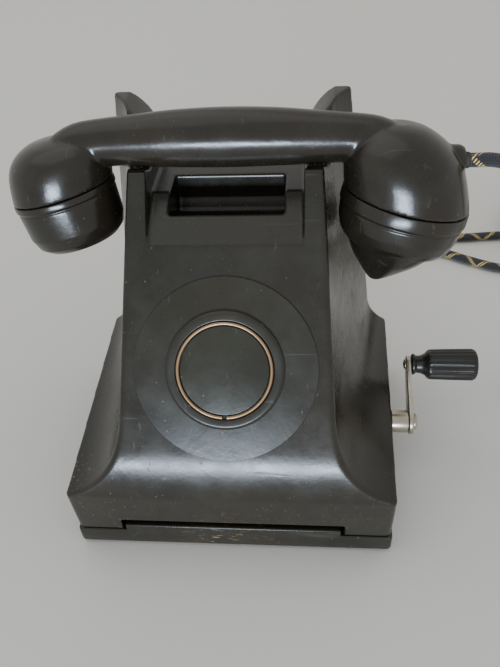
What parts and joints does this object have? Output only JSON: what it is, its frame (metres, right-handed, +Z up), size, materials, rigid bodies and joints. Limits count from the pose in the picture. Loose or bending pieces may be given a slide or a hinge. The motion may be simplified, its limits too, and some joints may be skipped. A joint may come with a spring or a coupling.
{
  "type": "magneto crank telephone",
  "caption": "Moulded magneto desk telephone with a sloping front, blank dial, cradle with handset, side crank, inner works and cords.",
  "frame": {"origin": "on the standing surface, under the middle of the base", "axes": "+X to the right, where the crank is; +Y to the back; +Z up"},
  "size_m": [0.4126, 0.3557, 0.2069],
  "materials": {
    "bakelite": "worn satin, dark brownish black",
    "bakelite_dark": "satin black",
    "brass": "aged",
    "nickel": "bright nickel plate",
    "steel": "plain",
    "magnet_iron": "dark",
    "winding": "varnished winding",
    "rubber": "matte",
    "cord_braid": "textile braid with light tracer flecks",
    "card": "dark satin",
    "fibre": "matte"
  },
  "bodies": {
    "root": {"body_shell": "bakelite", "plinth": "bakelite", "dial_flange": "bakelite", "dial_boss": "bakelite", "foot_1": "rubber", "foot_2": "rubber", "foot_3": "rubber", "foot_4": "rubber", "handset_cord_gland": "rubber", "line_cord_gland": "rubber", "chassis_plate": "steel", "chassis_screw_1": "steel", "chassis_screw_2": "steel", "chassis_screw_3": "steel", "chassis_screw_4": "steel", "dial_clamp": "steel", "switch_bracket": "steel", "gong_post_front": "steel", "gong_post_rear": "steel", "ringer_bracket": "steel", "capacitor": "steel", "dial_card": "card", "snap_ring": "brass", "switch_spring_1": "brass", "switch_spring_2": "brass", "magneto_plate_left": "brass", "magneto_plate_right": "brass", "gong_front": "brass", "gong_rear": "brass", "pole_piece_front": "magnet_iron", "pole_piece_rear": "magnet_iron", "magnet_1": "magnet_iron", "magnet_2": "magnet_iron", "ringer_yoke": "magnet_iron", "ringer_coil_front": "winding", "ringer_coil_rear": "winding", "induction_coil": "winding", "crank_bush": "nickel", "line_plug": "bakelite_dark", "terminal_block": "fibre", "handset_cord": "cord_braid", "line_cord": "cord_braid", "line_cord_coil": "cord_braid"},
    "handset": {"handset_body": "bakelite", "cord_relief": "rubber", "earpiece_cap": "bakelite", "receiver_capsule": "nickel", "mouthpiece_cap": "bakelite", "transmitter_capsule": "nickel"},
    "plungers": {"cradle_plungers": "steel"},
    "switch_lever": {"switch_lever": "steel"},
    "crank": {"crank_shaft": "steel", "drive_gear": "brass", "crank_arm": "nickel", "crank_cap_nut": "nickel", "grip_spindle": "nickel"},
    "grip": {"crank_grip": "bakelite_dark"},
    "armature": {"armature": "winding", "drive_pinion": "steel"},
    "clapper": {"clapper": "steel"}
  },
  "joints": [
    {"name": "handset_lift", "type": "slide", "parent": "root", "child": "handset", "axis": [0, 0, 1], "range_m": [0, 0.12]},
    {"name": "plunger_rise", "type": "slide", "parent": "root", "child": "plungers", "axis": [0, 0, 1], "range_m": [0, 0.004]},
    {"name": "lever_turn", "type": "hinge", "parent": "root", "child": "switch_lever", "pos_m": [0, 0.0575, 0.1316], "axis": [-1, 0, 0], "range_deg": [0, 9.5]},
    {"name": "crank_turn", "type": "hinge", "parent": "root", "child": "crank", "pos_m": [0.099, -0.0084, 0.034], "axis": [1, 0, 0], "continuous": true},
    {"name": "grip_spin", "type": "hinge", "parent": "crank", "child": "grip", "pos_m": [0.102, 0.02204, 0.05087], "axis": [1, 0, 0], "continuous": true},
    {"name": "armature_spin", "type": "hinge", "parent": "root", "child": "armature", "pos_m": [0, 0.0137, 0.034], "axis": [1, 0, 0], "continuous": true},
    {"name": "clapper_swing", "type": "hinge", "parent": "root", "child": "clapper", "pos_m": [-0.0357, 0.016, 0.034], "axis": [0, 0, 1], "range_deg": [-4, 4]}
  ],
  "couplings": [
    {"joint": "armature_spin", "follows": "crank_turn", "ratio": -4.8},
    {"joint": "plunger_rise", "follows": "handset_lift", "ratio": 0.033333},
    {"joint": "lever_turn", "follows": "handset_lift", "rad_per_m": 1.3066}
  ]
}
